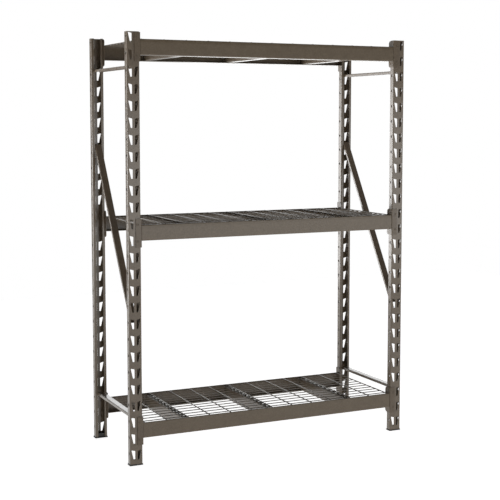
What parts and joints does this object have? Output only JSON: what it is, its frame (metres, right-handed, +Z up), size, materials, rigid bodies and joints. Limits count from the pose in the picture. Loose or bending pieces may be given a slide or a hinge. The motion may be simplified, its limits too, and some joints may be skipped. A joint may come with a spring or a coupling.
{
  "type": "boltless steel shelving",
  "caption": "Free-standing boltless steel shelving: braced end frames of slotted posts, hook-in beams with riveted end brackets, and drop-in welded wire decks on channel supports.",
  "frame": {"origin": "on the floor, in the middle of the footprint", "axes": "+Z up; +X to the right along the beams, seen from the front; +Y from the front to the back"},
  "size_m": [1.223, 0.466, 1.651],
  "materials": {
    "frame_paint": "hammered powder coat",
    "brace_paint": "hammered powder coat",
    "beam_paint": "satin powder coat",
    "bracket_paint": "satin powder coat",
    "wire_paint": "satin powder coat",
    "channel_paint": "satin powder coat",
    "foot_plastic": "moulded, matt"
  },
  "bodies": {
    "end_frames": {"post_front_left": "frame_paint", "foot_front_left": "foot_plastic", "post_rear_left": "frame_paint", "foot_rear_left": "foot_plastic", "brace_top_left": "brace_paint", "brace_diagonal_left": "brace_paint", "brace_bottom_left": "brace_paint", "post_front_right": "frame_paint", "foot_front_right": "foot_plastic", "post_rear_right": "frame_paint", "foot_rear_right": "foot_plastic", "brace_top_right": "brace_paint", "brace_diagonal_right": "brace_paint", "brace_bottom_right": "brace_paint"},
    "front_beam_top": {"beam_front_top": "beam_paint", "bracket_front_left_top": "bracket_paint", "bracket_front_right_top": "bracket_paint"},
    "rear_beam_top": {"beam_rear_top": "beam_paint", "bracket_rear_left_top": "bracket_paint", "bracket_rear_right_top": "bracket_paint"},
    "deck_top": {"deck_top": "wire_paint", "channel_left_top": "channel_paint", "channel_centre_top": "channel_paint", "channel_right_top": "channel_paint"},
    "front_beam_middle": {"beam_front_middle": "beam_paint", "bracket_front_left_middle": "bracket_paint", "bracket_front_right_middle": "bracket_paint"},
    "rear_beam_middle": {"beam_rear_middle": "beam_paint", "bracket_rear_left_middle": "bracket_paint", "bracket_rear_right_middle": "bracket_paint"},
    "deck_middle": {"deck_middle": "wire_paint", "channel_left_middle": "channel_paint", "channel_centre_middle": "channel_paint", "channel_right_middle": "channel_paint"},
    "front_beam_bottom": {"beam_front_bottom": "beam_paint", "bracket_front_left_bottom": "bracket_paint", "bracket_front_right_bottom": "bracket_paint"},
    "rear_beam_bottom": {"beam_rear_bottom": "beam_paint", "bracket_rear_left_bottom": "bracket_paint", "bracket_rear_right_bottom": "bracket_paint"},
    "deck_bottom": {"deck_bottom": "wire_paint", "channel_left_bottom": "channel_paint", "channel_centre_bottom": "channel_paint", "channel_right_bottom": "channel_paint"}
  },
  "joints": [
    {"name": "front_beam_top_lift", "type": "slide", "parent": "end_frames", "child": "front_beam_top", "axis": [0, 0, 1], "range_m": [0, 0.0135]},
    {"name": "rear_beam_top_lift", "type": "slide", "parent": "end_frames", "child": "rear_beam_top", "axis": [0, 0, 1], "range_m": [0, 0.0135]},
    {"name": "deck_top_lift", "type": "slide", "parent": "front_beam_top", "child": "deck_top", "axis": [0, 0, 1], "range_m": [0, 0.15]},
    {"name": "front_beam_middle_lift", "type": "slide", "parent": "end_frames", "child": "front_beam_middle", "axis": [0, 0, 1], "range_m": [0, 0.0135]},
    {"name": "rear_beam_middle_lift", "type": "slide", "parent": "end_frames", "child": "rear_beam_middle", "axis": [0, 0, 1], "range_m": [0, 0.0135]},
    {"name": "deck_middle_lift", "type": "slide", "parent": "front_beam_middle", "child": "deck_middle", "axis": [0, 0, 1], "range_m": [0, 0.15]},
    {"name": "front_beam_bottom_lift", "type": "slide", "parent": "end_frames", "child": "front_beam_bottom", "axis": [0, 0, 1], "range_m": [0, 0.0135]},
    {"name": "rear_beam_bottom_lift", "type": "slide", "parent": "end_frames", "child": "rear_beam_bottom", "axis": [0, 0, 1], "range_m": [0, 0.0135]},
    {"name": "deck_bottom_lift", "type": "slide", "parent": "front_beam_bottom", "child": "deck_bottom", "axis": [0, 0, 1], "range_m": [0, 0.15]}
  ],
  "couplings": [
    {"joint": "rear_beam_top_lift", "follows": "front_beam_top_lift", "ratio": 1},
    {"joint": "rear_beam_middle_lift", "follows": "front_beam_middle_lift", "ratio": 1},
    {"joint": "rear_beam_bottom_lift", "follows": "front_beam_bottom_lift", "ratio": 1}
  ]
}
